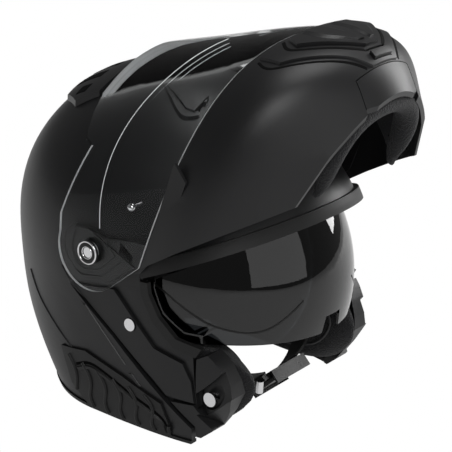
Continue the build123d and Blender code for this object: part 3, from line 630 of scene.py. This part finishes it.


# Sun visor rim
# A groove is moulded along the lower edge of the sun visor, which leaves a lighter rim below it.
# Its shade is painted as a thin opaque black strip laid along it.
def on_front(points):
    """Start points in front of the helmet for places given in millimetres, across and up."""
    return [Vector((x * 0.001, -0.3, z * 0.001)) for x, z in points]


rim_height = 0.0004
rim_near = ((105, 128), (99, 113), (91, 102), (83, 97), (71, 94), (59, 96.5), (46, 106), (34, 116))
rim_far = ((105, 125), (99, 110), (91, 99.5), (83, 94.8), (71, 92), (58, 94.5), (45, 104), (33, 114))
# Painted shade: a near-black strip laid along the groove of the sun visor.
painted_visor_groove_shade = lacquer_or_moulding("painted_visor_groove_shade", (0.002, 0.002, 0.002), 0.3, shine=0.3)
band("sun_visor_groove_shade", skin("sun_visor"), on_front(rim_near), on_front(rim_far), Vector((0, 1, 0)),
     rim_height, painted_visor_groove_shade, "sun_visor")

# Pivot rings
# Three turned rings stand round each pivot screw in the lock ring that holds the visor: two of bright
# steel and a nylon one between them.
pivot_joint = next(joint for joint in frame["joints"] if joint["name"] == "chin_bar_pivot")
pivot_place = Vector(pivot_joint["pos_m"])
pivot_record = next(
    joint for joint in frame["record"]["behaviour"]["joints"] if joint["name"] == "chin_bar_pivot"
)
turn = math.radians(pivot_record["range_deg"][1])


def raised(x, y, z):
    """A place on the bar or the visor, given from the pivots in millimetres as if the bar were shut."""
    turned = Vector((x, y * math.cos(turn) + z * math.sin(turn), z * math.cos(turn) - y * math.sin(turn)))
    return turned * 0.001 + pivot_place


def ring_mesh(name, profile):
    """A ring round the pivot on both sides: its profile gives radius and distance from the middle."""
    steps = 56
    data = bmesh.new()
    for mirror in (1, -1):
        turns = []
        for step in range(steps):
            angle = 2 * math.pi * step / steps
            row = []
            for radius, out in profile:
                place = raised(out * mirror, radius * math.cos(angle), radius * math.sin(angle))
                row.append(data.verts.new(place))
            turns.append(row)
        for one, two in zip(turns, turns[1:] + turns[:1]):
            for index in range(len(profile)):
                following = (index + 1) % len(profile)
                data.faces.new((one[index], one[following], two[following], two[index]))
    bmesh.ops.recalc_face_normals(data, faces=data.faces)
    mesh = bpy.data.meshes.new(name)
    data.to_mesh(mesh)
    data.free()
    return mesh


ring_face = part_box("lock_ring_left")[1].x * 1000
ring_foot = ring_face - 1
ring_top = ring_face + 0.35
dial_rings = ((9.2, 8.0, polished_steel), (6.9, 6.2, grained_nylon), (5.0, 4.4, polished_steel))
for number, (wide, narrow, finish) in enumerate(dial_rings):
    name = "dial_ring_" + str(number)
    profile = ((narrow, ring_foot), (narrow, ring_top), (wide, ring_top), (wide, ring_foot))
    piece(name, ring_mesh(name, profile), finish, owner("lock_ring_left"))

# Visor tabs
# The black plates behind the clear visor's round tabs are moulded in nylon. The ribs that stiffen each tab
# are moulded inside it; the shade they show is painted as fine near-black cords laid on the visor.
plate_black = lacquer_or_moulding("plate_black", (0.004, 0.004, 0.0042), 0.35, shine=0.4)
dress(["visor_base_left", "visor_base_right"], plate_black)
visor_surface = skin("clear_visor")
rib_radius = 0.00022
rib_steps = 4
tab_outlines = (
    ((-14, 22), (-3, 27), (8, 25), (16, 19), (22, 9), (23, 2), (13, -16), (-8, -28)),
    ((-13, 15), (-8, 19), (2, 19), (9, 17), (16, 9), (17, 1), (10, -11), (-9, -22), (-15, -9), (-19, 4),
     (-13, 15)),
    ((-19, -18), (-21, -12), (-14, -8), (-11, -14), (-19, -18)),
    ((4, 26), (13, 23), (19, 16)),
)
tab_rib_shade = []
for outline in tab_outlines:
    starts = []
    for (y_from, z_from), (y_to, z_to) in zip(outline, outline[1:]):
        for step in range(rib_steps):
            share = step / rib_steps
            starts.append(raised(0, y_from + (y_to - y_from) * share, z_from + (z_to - z_from) * share))
    starts.append(raised(0, *outline[-1]))
    tab_rib_shade += both_sides(laid_on(visor_surface, starts, outward_left))
# Painted shade: near-black cords along the tab ribs of the clear visor.
painted_rib_shade = lacquer_or_moulding("painted_rib_shade", (0.0015, 0.0015, 0.0015), 0.3, shine=0.6)
piece("tab_rib_shade", cord_mesh("tab_rib_shade", tab_rib_shade, rib_radius, painted_rib_shade), painted_rib_shade, "visor")

# Visor edges
# The clear visor is trimmed to its outline after moulding. Its cut edges and the crease moulded across it
# carry painted highlights: a pale grey-white finish on the edge faces and a thin pale cord along the
# crease.
# A pale grey-white finish for painted highlights on the clear visor.
painted_edge_highlight = lacquer_or_moulding("painted_edge_highlight", (0.75, 0.77, 0.78), 0.15, shine=0.8)
crease_radius = 0.0003
crease = ((-23, -3), (-46, 6), (-76, 13), (-105, 15), (-135, 12), (-158, 6), (-172, -4))
crease_starts = rounded([raised(200, y, z) for y, z in crease], 8)
crease_line = laid_on(visor_surface, crease_starts, inward)
crease_mesh = cord_mesh("visor_crease_highlight", both_sides(crease_line), crease_radius, painted_edge_highlight)
piece("visor_crease_highlight", crease_mesh, painted_edge_highlight, "visor")

# The side and top edge faces of the clear visor take the painted highlight finish.
side_edge_from = 0.120
for face in outer_visor.data.polygons:
    normal = face.normal
    up_share = normal.z * math.cos(turn) + normal.y * math.sin(turn)
    side_edge = abs(face.center.x) > side_edge_from and abs(normal.x) < 0.3
    top_edge = abs(up_share) > 0.86 and abs(normal.x) < 0.35
    if side_edge or top_edge:
        face.material_index = 1
outer_visor.data.materials.append(painted_edge_highlight)


# Chin vent gaps
# The shield stands off its frame with a gap all round, the frame is let into the bar with another, and the
# shade in both gaps is painted as thin black strips. The middle of the shield is pressed up.
def on_bar(points):
    """Start points in front of the bar for places in millimetres, across and up, as if it were shut."""
    return [raised(x, -300, z) for x, z in points]


into_bar = Vector((0, math.cos(turn), -math.sin(turn)))
gap_height = 0.0003
# Painted shade in the gap between the shield and its frame.
gap_near = on_bar(((41, -52.5), (50, -66.5), (25.5, -88), (9, -99.5)))
gap_far = on_bar(((46, -52.5), (54.5, -67), (27.5, -91.5), (10, -103)))
band("vent_gap_shade", skin("chin_vent_frame"), gap_near, gap_far, into_bar, gap_height, painted_slot_shade,
     "chin_bar")
press_height = 0.0016
press_near = on_bar(((3, -58), (3, -75), (3, -92)))
press_far = on_bar(((33, -58), (30, -75), (11, -91)))
band("shield_press", skin("chin_vent_shield"), press_near, press_far, into_bar, press_height, matt_lacquer,
     "chin_bar")
# Painted shade in the gap between the frame and the bar.
border_near = on_bar(((67.5, -53), (69.5, -69), (31, -99.5), (17, -113)))
border_far = on_bar(((70.5, -53), (72.5, -70), (33, -102), (19, -115)))
band("vent_border_shade", skin("chin_bar"), border_near, border_far, into_bar, gap_height, painted_slot_shade,
     "chin_bar")

# Floor
# A plain sheet of pale paper. It keeps the helmet's shadow, and the camera and bright surfaces see the
# rest of it as white.
floor_size = 6
glossy_share = 0.5
bpy.ops.mesh.primitive_plane_add(size=floor_size, location=(0, 0, 0))
floor = bpy.context.object
floor.name = "floor"
paper = bpy.data.materials.new("paper")
paper.use_nodes = True
tree = paper.node_tree
sheet = tree.nodes["Principled BSDF"]
sheet.inputs["Base Color"].default_value = (0.8, 0.8, 0.8, 1)
sheet.inputs["Roughness"].default_value = 0.9
glow = tree.nodes.new("ShaderNodeEmission")
glow.inputs["Strength"].default_value = 1
path = tree.nodes.new("ShaderNodeLightPath")
straight = tree.nodes.new("ShaderNodeMath")
straight.operation = "MAXIMUM"
tree.links.new(path.outputs["Is Camera Ray"], straight.inputs[0])
tree.links.new(path.outputs["Is Transmission Ray"], straight.inputs[1])
seen = tree.nodes.new("ShaderNodeMath")
seen.operation = "MULTIPLY_ADD"
seen.use_clamp = True
seen.inputs[1].default_value = glossy_share
tree.links.new(path.outputs["Is Glossy Ray"], seen.inputs[0])
tree.links.new(straight.outputs["Value"], seen.inputs[2])
mix = tree.nodes.new("ShaderNodeMixShader")
tree.links.new(seen.outputs["Value"], mix.inputs["Fac"])
tree.links.new(sheet.outputs["BSDF"], mix.inputs[1])
tree.links.new(glow.outputs["Emission"], mix.inputs[2])
tree.links.new(mix.outputs["Shader"], tree.nodes["Material Output"].inputs["Surface"])
floor.data.materials.append(paper)

# Surround
# An even pale room. The camera sees it as white, bright surfaces see it dimmer, and it lights the helmet
# only faintly, so that the lamps shape it.
room_light = 0.06
room_in_gloss = 0.10
world = bpy.data.worlds.new("surround")
bpy.context.scene.world = world
world.use_nodes = True
tree = world.node_tree
back = tree.nodes["Background"]
back.inputs["Color"].default_value = (1, 1, 1, 1)
path = tree.nodes.new("ShaderNodeLightPath")
straight = tree.nodes.new("ShaderNodeMath")
straight.operation = "MAXIMUM"
tree.links.new(path.outputs["Is Camera Ray"], straight.inputs[0])
tree.links.new(path.outputs["Is Transmission Ray"], straight.inputs[1])
seen = tree.nodes.new("ShaderNodeMath")
seen.operation = "MULTIPLY_ADD"
seen.use_clamp = True
seen.inputs[1].default_value = room_in_gloss
tree.links.new(path.outputs["Is Glossy Ray"], seen.inputs[0])
tree.links.new(straight.outputs["Value"], seen.inputs[2])
level = tree.nodes.new("ShaderNodeMapRange")
level.inputs["To Min"].default_value = room_light
level.inputs["To Max"].default_value = 1
tree.links.new(seen.outputs["Value"], level.inputs["Value"])
tree.links.new(level.outputs["Result"], back.inputs["Strength"])


# Lamps
# A broad soft box over the front right, one overhead, a faint one in front that shows in the sun visor,
# and a narrow one on the far side.
def lamp(name, place, aim, width, height, power):
    """A soft rectangular lamp that faces a point."""
    data = bpy.data.lights.new(name, "AREA")
    data.shape = "RECTANGLE"
    data.size = width
    data.size_y = height
    data.energy = power
    made = bpy.data.objects.new(name, data)
    bpy.context.scene.collection.objects.link(made)
    made.location = place
    made.rotation_mode = "QUATERNION"
    made.rotation_quaternion = (Vector(aim) - Vector(place)).to_track_quat("-Z", "Y")


lamp("key", (-1.2, -1.3, 1.6), (0, 0, 0.2), 1.1, 0.9, 21)
lamp("top", (0.3, -0.2, 1.9), (0, 0, 0.2), 1.2, 0.9, 16)
lamp("front", (-0.30, -2.1, 0.75), (-0.05, -0.1, 0.2), 2.1, 1.3, 9)
lamp("rim", (1.3, -0.5, 0.7), (0, 0, 0.2), 0.5, 0.9, 12)

# Camera
# A long lens on a stand, a little above the helmet and to its front right, level but for a slight roll.
# Its place and turn were fitted to the photograph.
camera_place = Vector((-0.927147, -0.696391, 0.580368))
azimuth = math.radians(-54.34)
elevation = math.radians(21.19)
roll = math.radians(3.63)
back_way = Vector(
    (math.sin(azimuth) * math.cos(elevation), -math.cos(azimuth) * math.cos(elevation), math.sin(elevation))
)
right_way = Vector((math.cos(azimuth), math.sin(azimuth), 0))
up_way = back_way.cross(right_way)
x_way = right_way * math.cos(roll) + up_way * math.sin(roll)
y_way = up_way * math.cos(roll) - right_way * math.sin(roll)
data = bpy.data.cameras.new("camera")
data.sensor_width = 36
data.lens = 122.18
data.clip_start = 0.05
data.clip_end = 20
camera = bpy.data.objects.new("camera", data)
bpy.context.scene.collection.objects.link(camera)
camera.matrix_world = Matrix(
    (
        (x_way.x, y_way.x, back_way.x, camera_place.x),
        (x_way.y, y_way.y, back_way.y, camera_place.y),
        (x_way.z, y_way.z, back_way.z, camera_place.z),
        (0, 0, 0, 1),
    )
)
bpy.context.scene.camera = camera

bpy.context.scene.view_settings.view_transform = "Standard"
